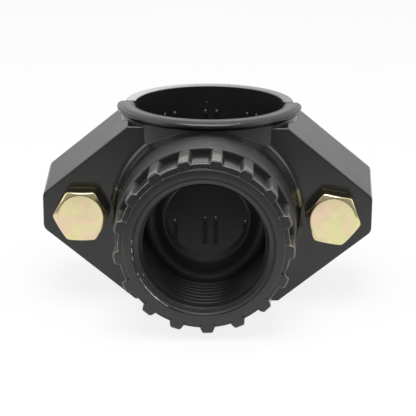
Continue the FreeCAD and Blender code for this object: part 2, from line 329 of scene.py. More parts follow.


# %% [markdown]
# ## Black moulded plastic
#
# Polypropylene from a worn mould is not one flat black. It has a satin shine that varies over a
# few millimetres, a very fine grain, slight sink marks that bend the highlights, and a little
# pale dust. The edges are rounded by a tenth or two of a millimetre, which the solids leave
# sharp: the Bevel node bends the shading there, so that they catch the light, and where its
# normal leaves the flat face's own, the plastic is painted a little paler: partly edge wear,
# partly a painted highlight.

# %% Tints of black, and how dull each place is
saddle_tones = ((0.0095, 0.0093, 0.0087), (0.0140, 0.0137, 0.0128))
ring_tones = ((0.0100, 0.0098, 0.0092), (0.0155, 0.0152, 0.0143))
thread_shade_tones = ((0.0040, 0.0040, 0.0037), (0.0058, 0.0058, 0.0054))
rim_lit_tones = ((0.0140, 0.0137, 0.0130), (0.0200, 0.0196, 0.0186))
boss_grey = (0.0165, 0.0166, 0.0157)
port_matte_and_lit_grey = (0.030, 0.0305, 0.0295)
thread_wall_shade_black = (0.0045, 0.0045, 0.0042)
bore_shade_black = (0.0055, 0.0058, 0.0056)
mark_shade_black = (0.0030, 0.0030, 0.0030)
top_highlight_grey = (0.52, 0.52, 0.51)
dust_grey = (0.32, 0.31, 0.29)
boss_roughness = (0.3, 0.46)
outlet_roughness = 0.5
bore_roughness = 0.52
mark_dulling = 1.4
edge_wear_and_highlight_strength = 0.6
lip_rounding = 0.78 * MM
sink_depth = 0.03 * MM
plastic_ior = 1.49
print("tints of black:", len(saddle_tones + ring_tones + thread_shade_tones + rim_lit_tones))


# %% Dust and soft edges
def dust_specks(tree, place):
    """1 in small round spots, a few to the square centimetre."""
    cells = add_node(tree, "TexVoronoi", Scale=420, Randomness=1.0)
    tree.links.new(place, cells.inputs["Vector"])
    spot = remap(tree, cells.outputs["Distance"], 0.05, 0.09, 1, 0)
    return multiply(tree, spot, clouds(tree, place, 210, 1, (0.66, 0.7)))


def soft_edges(tree, radius, wide=None):
    """Normal that is rounded at edges, and how far it leaves the face's own normal."""
    soft = add_node(tree, "Bevel", {"samples": 8}, Radius=radius)
    if wide:
        tree.links.new(wide, soft.inputs["Radius"])
    surface = add_node(tree, "NewGeometry")
    match = add_node(tree, "VectorMath", {"operation": "DOT_PRODUCT"})
    tree.links.new(soft.outputs["Normal"], match.inputs[0])
    tree.links.new(surface.outputs["Normal"], match.inputs[1])
    return soft.outputs["Normal"], remap(tree, match.outputs["Value"], 0.7, 0.97, 1, 0)


def edge_highlight_share(tree):
    """1 on the edges where a mesh asks for a painted highlight, 0 elsewhere."""
    return add_node(tree, "Attribute", {"attribute_name": "edge_highlight_amount"}).outputs["Fac"]


# %% Black moulded plastic
def saddle_places(tree, place, tint, shine):
    """Tint and roughness with the saddle half's own places: a grainy boss, and a duller outlet
    whose thread wall is painted darker as shade and whose deeper part is painted paler, partly as
    light.
    """
    boss, outlet = boss_share(tree, place), outlet_share(tree, place)
    grainy = multiply(tree, boss, clouds(tree, place, 700, 3, (0.3, 0.7), boss_roughness))
    tint = blend_colours(tree, boss, tint, boss_grey)
    # The thread wall is painted darker, as shade inside the outlet; deeper in, a paler grey is
    # partly the core's matte skin and partly painted light.
    inside = blend_colours(tree, thread_share(tree, place), port_matte_and_lit_grey, thread_wall_shade_black)
    tint = blend_colours(tree, outlet, tint, inside)
    shine = larger(tree, larger(tree, shine, grainy), multiply(tree, outlet, outlet_roughness))
    return tint, shine


def strap_places(tree, place, tint, shine):
    """Tint and roughness with the strap's own places: the grip marks, painted dark as shade, and
    the top end, painted pale as a highlight.
    """
    mark = mark_share(tree, place)
    # The floors of the grip marks are painted near black: painted shade in the recesses.
    tint = blend_colours(tree, mark, tint, mark_shade_black)
    shine = multiply(tree, shine, remap(tree, mark, 0, 1, 1, mark_dulling))
    # The top end is painted pale grey: a painted highlight, strongest on the left.
    return blend_colours(tree, top_end_highlight(tree, place), tint, top_highlight_grey), shine


def moulded_plastic(name, tones, gloss, grain, edge, mirror=0.62, edge_wear_and_highlight_grey=0.05, saddle=False,
                    strap=False, with_edge_highlights=False):
    """Satin black: cloudy tint and gloss, fine grain, sink marks, pale edges of wear and painted
    highlight, dust, dull bore painted darker as shade.
    """
    material, tree, shader, place = new_finish(name)
    wide = remap(tree, lip_share(tree, place), 0, 1, edge, lip_rounding) if saddle else None
    soft, edge_wear_and_highlight = soft_edges(tree, edge, wide)
    if with_edge_highlights:
        uneven = clouds(tree, place, 1500, 2, (0.3, 0.7), (0.7, 1))
        edge_wear_and_highlight = multiply(tree, edge_highlight_share(tree), uneven)
    tint = blend_colours(tree, clouds(tree, place, 55, 4, (0.35, 0.65)), *tones)
    shine = clouds(tree, place, 120, 3, (0.3, 0.7), gloss)
    if saddle:
        tint, shine = saddle_places(tree, place, tint, shine)
    bore = bore_share(tree, place)
    # The wall round the pipe is painted darker: painted shade inside the bore; its duller skin is
    # the roughness.
    tint = blend_colours(tree, bore, tint, bore_shade_black)
    shine = larger(tree, shine, multiply(tree, bore, bore_roughness))
    if strap:
        tint, shine = strap_places(tree, place, tint, shine)
    # Pale edges: partly edge wear and partly a painted highlight; on the ring they are a painted
    # highlight.
    pale = multiply(tree, edge_wear_and_highlight, edge_wear_and_highlight_strength)
    tint = blend_colours(tree, pale, tint, (edge_wear_and_highlight_grey, edge_wear_and_highlight_grey, edge_wear_and_highlight_grey * 0.94))
    tint = blend_colours(tree, dust_specks(tree, place), tint, dust_grey)
    tree.links.new(tint, shader.inputs["Base Color"])
    tree.links.new(shine, shader.inputs["Roughness"])
    if saddle:
        soft = bump(tree, lip_crown(tree, place), lip_rounding, 1.0, soft)
    sunk = bump(tree, noise(tree, place, 95, 1), sink_depth, 0.5, soft)
    grained = bump(tree, noise(tree, place, 2600, 2), grain, 1.0, sunk)
    tree.links.new(grained, shader.inputs["Normal"])
    shader.inputs["IOR"].default_value = plastic_ior
    shader.inputs["Specular IOR Level"].default_value = mirror
    return material


# %% Four black finishes
saddle_finish = moulded_plastic("black_satin_saddle", saddle_tones, gloss=(0.17, 0.25),
                                grain=0.003 * MM, edge=0.25 * MM, saddle=True)
strap_finish = moulded_plastic("black_satin_strap", saddle_tones, gloss=(0.22, 0.32),
                               grain=0.003 * MM, edge=0.15 * MM, mirror=0.36, strap=True)
# The ring's pale edges and rib tops are painted highlights.
ring_finish = moulded_plastic("black_satin_ring", ring_tones, gloss=(0.17, 0.27),
                              grain=0.005 * MM, edge=0.08 * MM, edge_wear_and_highlight_grey=0.56, with_edge_highlights=True)
# The thread's tints are darker than the saddle's: painted shade inside the outlet.
thread_finish = moulded_plastic("black_satin_thread", thread_shade_tones, gloss=(0.26, 0.34),
                                grain=0.002 * MM, edge=0.08 * MM, mirror=0.28)
print("plastic finishes made")

# %% [markdown]
# ## Seal rubber and yellow zinc
#
# The seal is dull black rubber with talc in its pores. The bolts and nuts are steel with a
# yellow chromate over zinc: a pale gold metal whose colour drifts to pink and green in patches
# of a few millimetres, duller where it was handled.

# %% Rubber and zinc finishes
def seal_rubber(name):
    """Dull black rubber, slightly paler in cloudy patches."""
    material, tree, shader, place = new_finish(name)
    talc = clouds(tree, place, 600, 4, (0.45, 0.75))
    tint = blend_colours(tree, talc, (0.012, 0.012, 0.012), (0.035, 0.034, 0.032))
    tree.links.new(tint, shader.inputs["Base Color"])
    tree.links.new(remap(tree, talc, 0, 1, 0.55, 0.75), shader.inputs["Roughness"])
    tree.links.new(bump(tree, noise(tree, place, 3000, 2), 0.02 * MM), shader.inputs["Normal"])
    return material


def yellow_zinc(name, gold):
    """Metal in three drifting tints, with cloudy gloss and a fine plated grain."""
    material, tree, shader, place = new_finish(name)
    rose = tuple(v * k for v, k in zip(gold, (1.04, 0.90, 1.15)))
    green = tuple(v * k for v, k in zip(gold, (0.88, 1.04, 0.88)))
    tint = blend_colours(tree, clouds(tree, place, 190, 3, (0.42, 0.62)), gold, rose)
    greenish = clouds(tree, place, 330, 2, (0.46, 0.7), (0, 0.7), roughness=0.7)
    tree.links.new(blend_colours(tree, greenish, tint, green), shader.inputs["Base Color"])
    shader.inputs["Metallic"].default_value = 1.0
    gloss = clouds(tree, place, 420, 4, (0.3, 0.7), (0.12, 0.22), roughness=0.6)
    tree.links.new(gloss, shader.inputs["Roughness"])
    soft = add_node(tree, "Bevel", {"samples": 8}, Radius=0.16 * MM)
    plated = bump(tree, noise(tree, place, 900, 3), 0.006 * MM, 1.0, soft.outputs["Normal"])
    tree.links.new(plated, shader.inputs["Normal"])
    return material


rubber_finish = seal_rubber("seal_rubber")
bolt_finish = yellow_zinc("yellow_zinc_bolt", (0.80, 0.70, 0.40))
nut_finish = yellow_zinc("yellow_zinc_nut", (0.77, 0.66, 0.38))
print("rubber and zinc finishes made")

# %% Dress the solids
for name, finish in (("saddle_half", saddle_finish), ("strap_half", strap_finish),
                     ("reinforcing_ring", ring_finish), ("seal", rubber_finish),
                     ("left_bolt", bolt_finish), ("right_bolt", bolt_finish),
                     ("left_nut", nut_finish), ("right_nut", nut_finish)):
    nodes[name].data.materials.clear()
    nodes[name].data.materials.append(finish)
print("solids dressed:", len(nodes))

# %% [markdown]
# ## Meshes from formulas
#
# Every new piece is a surface that numpy works out all at once: a grid of points, one row for
# each step of the profile and one column for each step along the path. This helper joins the
# grid's neighbours into faces. Where the surface closes on itself, the last column or row joins
# the first, and where it ends in a point or a flat face, a cap closes it.

# %% Grid to mesh
def grid_faces(rows, columns, closed_rows=False):
    """Quads between neighbours; the last column joins the first, and the last row too if asked."""
    row_count = rows if closed_rows else rows - 1
    i, j = np.meshgrid(np.arange(row_count), np.arange(columns), indexing="ij")
    below, after = (i + 1) % rows, (j + 1) % columns
    corners = [(i, j), (i, after), (below, after), (below, j)]
    return np.stack([row * columns + column for row, column in corners], axis=-1).reshape(-1, 4)


def ring_faces(points):
    """Quads of a grid of points that closes on itself both ways."""
    return grid_faces(*points.shape[:2], closed_rows=True)


def about_outlet(reach, y, angle):
    """Point (r sin a, y, axis + r cos a)."""
    return np.stack([reach * np.sin(angle), y, outlet_z + reach * np.cos(angle)], axis=-1)


def about_axis(x, reach, y, angle):
    """Point (x + r cos a, y, axis + r sin a)."""
    return np.stack([x + reach * np.cos(angle), y, outlet_z + reach * np.sin(angle)], axis=-1)


def make_piece(name, points, faces, caps, finish, body, sharp=None):
    """Mesh object at the origin that rides on a body and takes its finish from a slot."""
    mesh = bpy.data.meshes.new(name)
    mesh.from_pydata(points.reshape(-1, 3).tolist(), [], faces.tolist() + caps)
    mesh.validate()
    mesh.materials.append(finish)
    mesh.shade_smooth()
    if sharp is not None:
        mesh.set_sharp_from_angle(angle=math.radians(sharp))
    piece = bpy.data.objects.new(name, mesh)
    bpy.context.scene.collection.objects.link(piece)
    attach(piece, body)
    print(name, "has", len(mesh.polygons), "faces")
    return piece


# %% [markdown]
# ## The screw thread in the outlet
#
# The outlet takes a one inch parallel pipe thread: eleven turns to the inch, flanks at 55
# degrees, crests and roots rounded. The solid has a plain wall at the thread's outer diameter.
# The ridge that stands on it is one closed section carried along a helix, fading into the wall
# over part of a turn at each end, as it does where the mould's core unscrews. The section is a
# hair narrower than a pitch, so that neighbouring turns share no points.

# %% Outlet thread
thread_pitch = 25.4 / 11 * MM
thread_height = 0.6403 * thread_pitch
thread_start = outlet_front + 1.5 * MM
thread_turns = 7.4
thread_buried = 0.25 * MM
ridge_half = 0.49
fade_turns = 0.4
tube_front = outlet_front + 0.2 * MM
mouth_chamfer = 1.0 * MM
print("thread pitch", round(thread_pitch / MM, 3), "mm, height", round(thread_height / MM, 3), "mm")


def ridge_section(pitch, height, buried, points=14):
    """Offset along the axis and height above the wall: a rounded V, closed behind the wall."""
    along = np.linspace(-ridge_half, ridge_half, points)
    rise = 0.5 + 0.5 * np.cos(2 * np.pi * along)
    steep = np.clip((0.5 - np.abs(along)) * 2.55 - 0.16, 0, 1)
    shape = height * (0.35 * rise + 0.65 * steep)
    offset = np.concatenate([along * pitch, [ridge_half * pitch, -ridge_half * pitch]])
    lift = np.concatenate([shape, [-buried, -buried]])
    return offset, lift


def helical_ridge(radius, start, pitch, turns, section, per_turn=72):
    """Point about the outlet at turn t: y = start + pitch t, radius less section height x fade."""
    offset, lift = section
    turn = np.linspace(0, turns, int(turns * per_turn) + 1)
    fade = np.clip(np.minimum(turn, turns - turn) / fade_turns, 0.02, 1)
    fade = fade * fade * (3 - 2 * fade)
    reach = radius - np.where(lift > 0, lift * fade[:, None], lift)
    angle = 2 * np.pi * turn[:, None]
    return about_outlet(reach, start + pitch * turn[:, None] + offset + 0 * reach, angle)


def cut_by_mouth(ridge, wall, front, chamfer, buried=0.12 * MM, skin=0.02 * MM):
    """Push what lies before the chamfer's end out to its cone: r >= wall + front + chamfer - y."""
    x, y, z = ridge[..., 0], ridge[..., 1], ridge[..., 2] - outlet_z
    reach = np.hypot(x, z)
    cone = wall + np.maximum(front + chamfer - y, 0)
    behind = np.where(reach > wall, buried, skin)
    pushed = np.where(y < front + chamfer, np.maximum(reach, cone + behind), reach)
    return np.stack([x / reach * pushed, y, outlet_z + z / reach * pushed], axis=-1)


ridge = helical_ridge(thread_wall_radius, thread_start, thread_pitch, thread_turns,
                      ridge_section(thread_pitch, thread_height, thread_buried))
ridge = cut_by_mouth(ridge, thread_wall_radius, tube_front, mouth_chamfer)
count, section_size = ridge.shape[:2]
last_section = (count - 1) * section_size
ends = [list(range(section_size)), list(range(last_section, last_section + section_size))[::-1]]
make_piece("outlet_thread", ridge, grid_faces(count, section_size), ends, thread_finish,
           "saddle_body", sharp=60)

# %% [markdown]
# ## The bolts
#
# Each bolt is an M8 with a forged hexagon head. The whole bolt is one surface round its axis:
# for every angle, a profile runs from the middle of the head's face over the chamfer, down the
# flat, in under the head and along the thread to the tip. The hexagon comes from the flat's
# distance divided by the cosine of the angle from the flat's middle, so the chamfer's cone
# meets the flats in the arcs that real heads have.

# %% Bolt sizes
across_flats = 13 * MM
head_height = 5.3 * MM
head_face_share = 0.92
chamfer_slope = math.tan(math.radians(30))
shank_radius = 4 * MM
bolt_pitch = 1.25 * MM
bolt_thread_depth = 0.6134 * bolt_pitch
tip_chamfer = 0.8 * MM
corner_rounding = 0.15 * MM
head_ease = 0.22 * MM
head_top = bolt_low.y
bolt_tip = bolt_high.y
print("bolt from y =", round(head_top / MM, 2), "to", round(bolt_tip / MM, 2), "mm")


# %% Hexagon head
def eased(profile, radius, steps=5):
    """Round each inner corner of the profiles: a short curve from one leg to the other."""
    rows = [profile[0]]
    share = np.linspace(0, 1, steps)[:, None, None]
    for before, corner, after in zip(profile[:-2], profile[1:-1], profile[2:]):
        towards = [leg / np.linalg.norm(leg, axis=-1, keepdims=True) * radius
                   for leg in (before - corner, after - corner)]
        start, end = corner + towards[0], corner + towards[1]
        rows.extend((1 - share) ** 2 * start + 2 * share * (1 - share) * corner + share ** 2 * end)
    rows.append(profile[-1])
    return np.array(rows)


def hexagon_radius(angle, flats, rounding):
    """Distance from the axis to the hexagon, with its corners taken in by the rounding."""
    from_flat = np.mod(angle, np.pi / 3) - np.pi / 6
    plain = flats / 2 / np.cos(from_flat)
    limit = flats / math.sqrt(3) - rounding
    return (plain ** -60 + limit ** -60) ** (-1 / 60)


def head_profile(angle, flats, top, seat, ease):
    """Rows of (radius, y) for every angle, from the middle of the face to the shank."""
    side = hexagon_radius(angle, flats, corner_rounding)
    face = flats / 2 * head_face_share
    flat = np.zeros_like(angle)
    start = top + (side - face) * chamfer_slope
    corners = [(flat, top), (flat + face, top), (side, start), (side, seat),
               (flat + shank_radius, seat)]
    return eased(np.array([np.stack([r, y + flat], axis=-1) for r, y in corners]), ease)


# %% Bolt thread and whole bolt
def thread_profile(angle, start, tip):
    """Rows of (radius, y): a rounded V that climbs one pitch a turn, then the tip's cone."""
    rows = np.arange(start, tip, bolt_pitch / 10)
    y = rows[:, None] + 0 * angle
    phase = np.mod(y / bolt_pitch - angle / (2 * np.pi), 1)
    groove = np.clip(1.25 - 2.5 * np.abs(phase - 0.5), 0, 1)
    depth = bolt_thread_depth * groove * np.clip((y - start) / bolt_pitch, 0, 1)
    cone = shank_radius - tip_chamfer + (tip - y)
    return np.stack([np.minimum(shank_radius - depth, cone), y], axis=-1)


def bolt_surface(x, turn, per_flat=24):
    """Head and shank as one grid about the bolt's axis, from pole to pole."""
    angle = np.linspace(0, 2 * np.pi, 6 * per_flat, endpoint=False)
    seat = head_top + head_height
    head = head_profile(angle, across_flats, head_top, seat, head_ease)
    shank = thread_profile(angle, seat, bolt_tip)
    profile = np.concatenate([head[1:], shank[1:]])
    return about_axis(x, profile[..., 0], profile[..., 1], angle + turn)


def add_bolt(name, x, turn, body, node):
    """One bolt: the grid, a fan of triangles on the face and another on the tip."""
    grid = bolt_surface(x, turn)
    rows, columns = grid.shape[:2]
    poles = [[x, head_top, outlet_z], [x, bolt_tip, outlet_z]]
    points = np.concatenate([grid.reshape(-1, 3), poles])
    top, tip = rows * columns, rows * columns + 1
    last = (rows - 1) * columns
    ring = np.arange(columns)
    after = (ring + 1) % columns
    fans = np.concatenate([np.stack([after, ring, top + 0 * ring], -1),
                           np.stack([last + ring, last + after, tip + 0 * ring], -1)]).tolist()
    piece = make_piece(name, points, grid_faces(rows, columns)[:, ::-1], fans,
                       bolt_finish, body, sharp=50)
    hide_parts(node)


add_bolt("left_bolt_threaded", -bolt_axis_x, 0.0, "left_bolt_body", "left_bolt")
add_bolt("right_bolt_threaded", bolt_axis_x, math.radians(-10), "right_bolt_body", "right_bolt")

# %% [markdown]
# ## The nuts
#
# The nuts sit in hexagonal pockets at the back of the strap. Each is a hexagon with both faces
# chamfered and both ends of its bore countersunk. Its section is a closed loop, carried round
# the axis with the hexagon's own distance at every angle, so the surface closes both ways.

# %% Nuts
nut_low, nut_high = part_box("right_nut")
nut_turn = math.radians(30)
nut_bore = 4.06 * MM
countersink = 0.55 * MM
nut_ease = 0.12 * MM


def eased_loop(profile, radius, steps=4):
    """Round every corner of a closed profile: (1-s)^2 start + 2s(1-s) corner + s^2 end."""
    share = np.linspace(0, 1, steps)[:, None, None, None]
    legs = [np.roll(profile, shift, axis=0) - profile for shift in (1, -1)]
    start, end = (profile + leg / np.linalg.norm(leg, axis=-1, keepdims=True) * radius
                  for leg in legs)
    curves = (1 - share) ** 2 * start + 2 * share * (1 - share) * profile + share ** 2 * end
    return np.moveaxis(curves, 0, 1).reshape(-1, *profile.shape[1:])


def nut_profile(angle, flats, front, back, bore, sink):
    """Loop of (radius, y) for every angle: bore, countersink, face, chamfer, flat and back."""
    flat = np.zeros_like(angle)
    side = hexagon_radius(angle, flats, corner_rounding)
    face = flats / 2 * head_face_share
    drop = (side - face) * chamfer_slope
    corners = [(flat + bore, front + sink), (flat + bore + sink, front), (flat + face, front),
               (side, front + drop), (side, back - drop), (flat + face, back),
               (flat + bore + sink, back), (flat + bore, back - sink)]
    return eased_loop(np.array([np.stack([r, y + flat], axis=-1) for r, y in corners]), nut_ease)


def add_nut(name, x, node, per_flat=20):
    """One nut at x: its loop of (radius, y) carried round the bolt's axis."""
    angle = np.linspace(0, 2 * np.pi, 6 * per_flat, endpoint=False)
    profile = nut_profile(angle, across_flats, nut_low.y, nut_high.y, nut_bore, countersink)
    points = about_axis(x, profile[..., 0], profile[..., 1], angle + nut_turn)
    piece = make_piece(name, points, ring_faces(points)[:, ::-1], [], nut_finish,
                       "strap_body", sharp=50)
    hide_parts(node)


add_nut("left_nut_chamfered", -bolt_axis_x, "left_nut")
add_nut("right_nut_chamfered", bolt_axis_x, "right_nut")

# %% [markdown]
# ## The rim of the mouth
#
# Round the mouth the tube ends in a rim 1.5 mm wide that leans inwards by about 25 degrees, so it
# mirrors the pale table at the top of the mouth and the dim room at its foot. It is a thin
# closed section carried round the outlet's axis, laid over the solid's plain chamfer.

# %% Mouth rim
def turned_ring(section, columns=360):
    """Section of (radius, y) carried round the outlet in equal steps."""
    angle = np.linspace(0, 2 * np.pi, columns, endpoint=False)
    rows = section[:, None, :] + np.zeros((1, columns, 1))
    return about_outlet(rows[..., 0], rows[..., 1], angle)


rim_ease = 0.035 * MM
rim_corners = np.array([(tube_radius - 0.05 * MM, tube_front - 0.04 * MM),
                        (thread_wall_radius - 0.45 * MM, tube_front + 0.68 * MM),
                        (thread_wall_radius + 0.05 * MM, tube_front + 1.25 * MM),
                        (tube_radius - 0.10 * MM, tube_front + 0.05 * MM)])
rim_section = eased_loop(rim_corners[:, None, :], rim_ease)[:, 0, :]
# The rim's tints are paler than the saddle's: painted light on the rim.
rim_finish = moulded_plastic("black_satin_rim", rim_lit_tones, gloss=(0.26, 0.36),
                             grain=0.003 * MM, edge=0.06 * MM, mirror=0.5)
rim_points = turned_ring(rim_section[::-1])
make_piece("mouth_rim", rim_points, ring_faces(rim_points), [], rim_finish,
           "saddle_body", sharp=60)

# %% [markdown]
# ## The ribbed ring
#
# The ring that is pressed over the outlet has seventeen ribs along it. The solid has them with
# sharp edges. Light runs along the real ones in thin lines, because every edge is rounded by a
# tenth of a millimetre; here the edges are rounded too, and the lines are also painted on as pale
# highlights. The whole ring is one surface: a closed section of radius
# and depth is carried round the outlet's axis, and the rib's height, a trapezoid of the angle
# averaged over a short stretch to round its corners, moves the section's outer points. Between
# the ribs the front edge steps back, which leaves a narrow ledge.

# %% Sizes of the ring
rib_count = 17
rib_phase = math.radians(7.85)
rib_height = 1.3 * MM
rib_middle_radius = ring_high.x - rib_height / 2
ring_inner = tube_radius + 0.03 * MM
ring_band_edge = tube_radius + 2.2 * MM
valley_radius = 21.275 * MM
valley_front = ring_front + 0.85 * MM
rib_front = ring_front + 0.15 * MM
rib_blur = 0.26 * MM
rib_foot, rib_top = 1.82 * MM, 1.24 * MM
step_blur = 0.05 * MM
ring_ease = 0.13 * MM
print("ribs:", rib_count, "each", round(2 * rib_top / MM, 2), "mm wide at the top")


# %% Ribbed ring
def rib_share(across, foot, top, blur):
    """Ramp from 1 within top to 0 beyond foot, averaged over +-blur."""
    shifts = np.linspace(-blur, blur, 15)
    return np.clip((foot - np.abs(across[:, None] + shifts)) / (foot - top), 0, 1).mean(axis=1)


def raised_share(across):
    """1 where the front is a rib's, 0 between the ribs: a steep ramp at the rib's foot."""
    return rib_share(across, rib_foot + 0.12 * MM, rib_foot - 0.08 * MM, step_blur)


def rib_columns(count):
    """Places round the ring, close on the flanks: distance from the rib's middle, and angle."""
    half = np.pi / count * rib_middle_radius
    flank_from, flank_to = 0.6 * MM, 2.2 * MM
    side = np.concatenate([np.linspace(0, flank_from, 3)[:-1],
                           np.linspace(flank_from, flank_to, 17)[:-1],
                           np.linspace(flank_to, half, 5)])
    across = np.concatenate([-side[:0:-1], side])[1:]
    turn = rib_phase + 2 * np.pi * np.arange(count) / count
    return np.tile(across, count), (turn[:, None] + across / rib_middle_radius).ravel()


def ring_profile(across):
    """Loop of (radius, y) for every place: bore, front, ledge, band or rib, and the back."""
    share = rib_share(across, rib_foot, rib_top, rib_blur)
    raised = raised_share(across)
    tip = valley_radius + rib_height * share
    slope = (0.1 + 0.22 * share) * MM
    flat = np.zeros_like(across)
    back = ring_high.y + flat

    def between(valley, rib):
        return valley + (rib - valley) * raised

    corners = [(ring_inner + flat, back),
               (ring_inner + flat, ring_front + flat),
               (ring_band_edge + flat, ring_front + flat),
               (ring_band_edge + 0.04 * MM + flat, between(valley_front - 0.03 * MM, rib_front)),
               (between(valley_radius - 0.45 * MM, tip - slope), between(valley_front, rib_front)),
               (tip, between(valley_front + 0.08 * MM, rib_front + slope)),
               (tip, back)]
    return np.array([np.stack(pair, axis=-1) for pair in corners])


across, around_ring = rib_columns(rib_count)
corner_steps = 4
ring_rows = eased_loop(ring_profile(across), ring_ease, steps=corner_steps)
reach, depth = ring_rows[..., 0], ring_rows[..., 1]
ring_points = about_outlet(reach, depth, around_ring)
ribbed_ring = make_piece("ribbed_ring", ring_points, ring_faces(ring_points), [], ring_finish,
                         "saddle_body", sharp=60)
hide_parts("reinforcing_ring")
print("rib tips at radius", round(reach.max() / MM, 3), "mm")
print("ring front at y =", round(depth.min() / MM, 3), "mm")

# %% [markdown]
# The ring's edges are painted pale: a painted highlight where the rounded edges catch the light.
# A number on every point says how much painted highlight it gets: 1 in the middle of the rounded
# front edges, nearly as much on the short walls where the ribs stand out in front, about a third
# on the tops of the ribs, and 0 on the faces. It is less on the lower side, where less light
# falls. The finish reads it.

# %% Painted highlights on the ring's edges
# Strength of the painted highlight on each kind of edge and on the rib tops.
band_edge_highlight, front_edge_highlight, inner_edge_highlight = 0.25, 1.0, 0.6
wall_highlight, rib_top_highlight = 0.8, 0.34
row = np.arange(len(ring_rows))
corner, step = row // corner_steps, row % corner_steps
rounded = ((step == 1) | (step == 2)).astype(float)
raised = raised_share(across)
inner_side = rib_share(across, rib_foot - 0.15 * MM, rib_foot - 0.3 * MM, step_blur)
wall = np.clip(raised - inner_side, 0, 1)
edges = (((2,), band_edge_highlight), ((5,), front_edge_highlight), ((4,), inner_edge_highlight * raised),
         ((3, 4), wall_highlight * wall))
highlight_rows = [(np.isin(corner, which) * rounded)[:, None] * strength for which, strength in edges]
on_rib = rib_share(across, rib_foot, rib_top, rib_blur)
top_rows = (corner == 5) & (step == 3) | (corner == 6) & (step == 0)
highlight_rows.append(top_rows[:, None] * rib_top_highlight * on_rib)
# The painted highlight is weaker on the lower side, where less light falls.
less_light_below = 0.15 + 0.85 * np.clip(1.25 + 1.1 * np.cos(around_ring), 0, 1)
edge_highlight_amount = np.clip(sum(highlight_rows), 0, 1) * less_light_below
layer = ribbed_ring.data.attributes.new("edge_highlight_amount", "FLOAT", "POINT")
layer.data.foreach_set("value", edge_highlight_amount.ravel().astype(np.float32))
print("worn points:", int((edge_highlight_amount > 0.5).sum()), "of", edge_highlight_amount.size)

# %% [markdown]
# ## The flash in the seam
#
# The ring is pressed over the outlet's tube, and shaves a thin curl of plastic off it. On the
# left it stands in the seam as a bright, torn thread; elsewhere it hardly shows. It is a closed
# ring of small sections whose width and height come from layered waves, so that it looks torn.
# Three short tables say, by the angle in degrees, how far it stands up and where it is broken.

# %% Where the flash is torn up
flash_radius = tube_radius - 0.06 * MM
flash_floor = outlet_front + 0.02 * MM
torn_at = [170, 173, 191, 194, 201, 204, 212, 220, 223, 228, 232, 239, 241]
torn_up = [0, 0.55, 0.55, 0, 0, 0.6, 0.5, 0.55, 1, 1, 0.5, 0.45, 0]
broken_up = [1, 1, 1, 1, 1, 1, 0.5, 0, 0, 0, 0, 0, 0]
print("flash from", torn_at[0], "to", torn_at[-1], "degrees")


# %% Seam flash
def layered_waves(angle, lowest, layers, seed):
    """Sum of sines with whole numbers of waves and falling strength, scaled to 0...1."""
    chance = np.random.default_rng(seed)
    waves = lowest * 2 ** np.arange(layers)
    phase = chance.uniform(0, 2 * np.pi, layers)
    total = (np.sin(angle[:, None] * waves + phase) / (np.arange(layers) + 1)).sum(axis=1)
    return (total - total.min()) / np.ptp(total)


def torn_ring(radius, floor, steps=1800):
    """Low section of width w and height h round the axis; both grow with strong x torn."""
    angle = np.linspace(0, 2 * np.pi, steps, endpoint=False)
    turned = np.degrees(angle)
    bits = np.clip(layered_waves(angle, lowest=55, layers=3, seed=8) * 6 - 3.6, 0, 1)
    broken = np.interp(turned, torn_at, broken_up)
    strong = np.interp(turned, torn_at, torn_up) * (1 - broken + broken * bits)
    torn = 0.5 + 0.5 * layered_waves(angle, lowest=30, layers=4, seed=3)
    width = (0.02 + 0.17 * strong * torn) * MM
    height = (0.01 + 0.16 * strong * torn) * MM
    sway = layered_waves(angle, lowest=7, layers=4, seed=5) - 0.5
    centre = radius + 0.05 * MM * sway * strong
    reach = np.stack([centre - width, centre - width * 0.3,
                      centre + width * 0.3, centre + width], axis=-1)
    depth = np.stack([0 * height, height, height, 0 * height], axis=-1)
    return about_axis(0, reach, floor - depth, angle[:, None])


def pale_plastic(name, dark, light, gloss):
    """Plastic paler than the moulding, in fine cloudy patches: the thin flash that light passes
    into, and the pips, painted pale as a highlight.
    """
    material, tree, shader, place = new_finish(name)
    patches = clouds(tree, place, 1400, 3, (0.35, 0.65))
    tree.links.new(blend_colours(tree, patches, dark, light), shader.inputs["Base Color"])
    tree.links.new(remap(tree, patches, 0, 1, *gloss), shader.inputs["Roughness"])
    tree.links.new(bump(tree, noise(tree, place, 4000, 2), 0.004 * MM), shader.inputs["Normal"])
    return material


flash_finish = pale_plastic("torn_flash", (0.30, 0.30, 0.29), (0.85, 0.85, 0.83), (0.2, 0.35))
flash_points = torn_ring(flash_radius, flash_floor)
make_piece("seam_flash", flash_points, ring_faces(flash_points), [], flash_finish,
           "saddle_body", sharp=40)

# %% [markdown]
# ## The pips of the grip marks
#
# Inside the strap, six pairs of shallow marks grip the pipe. Above each bar lies a round recess
# with a small domed pip, the print of the pin that pushed the moulding out. Each pip is one dome
# about an arrow that points at the pipe's axis, and all twelve come from one array. The pips are
# painted pale grey: a painted highlight where the domes catch the light.

# %% Grip pips
pip_radius = 0.41 * MM
pip_height = 0.32 * MM
pip_floor = pipe_radius + 0.37 * MM
mark_fans, half_pair = (-35, 0, 35), 4.55
pip_angles = np.radians([fan + side for fan in mark_fans for side in (-half_pair, half_pair)])
pip_levels = np.array([18.1, -13.9]) * MM


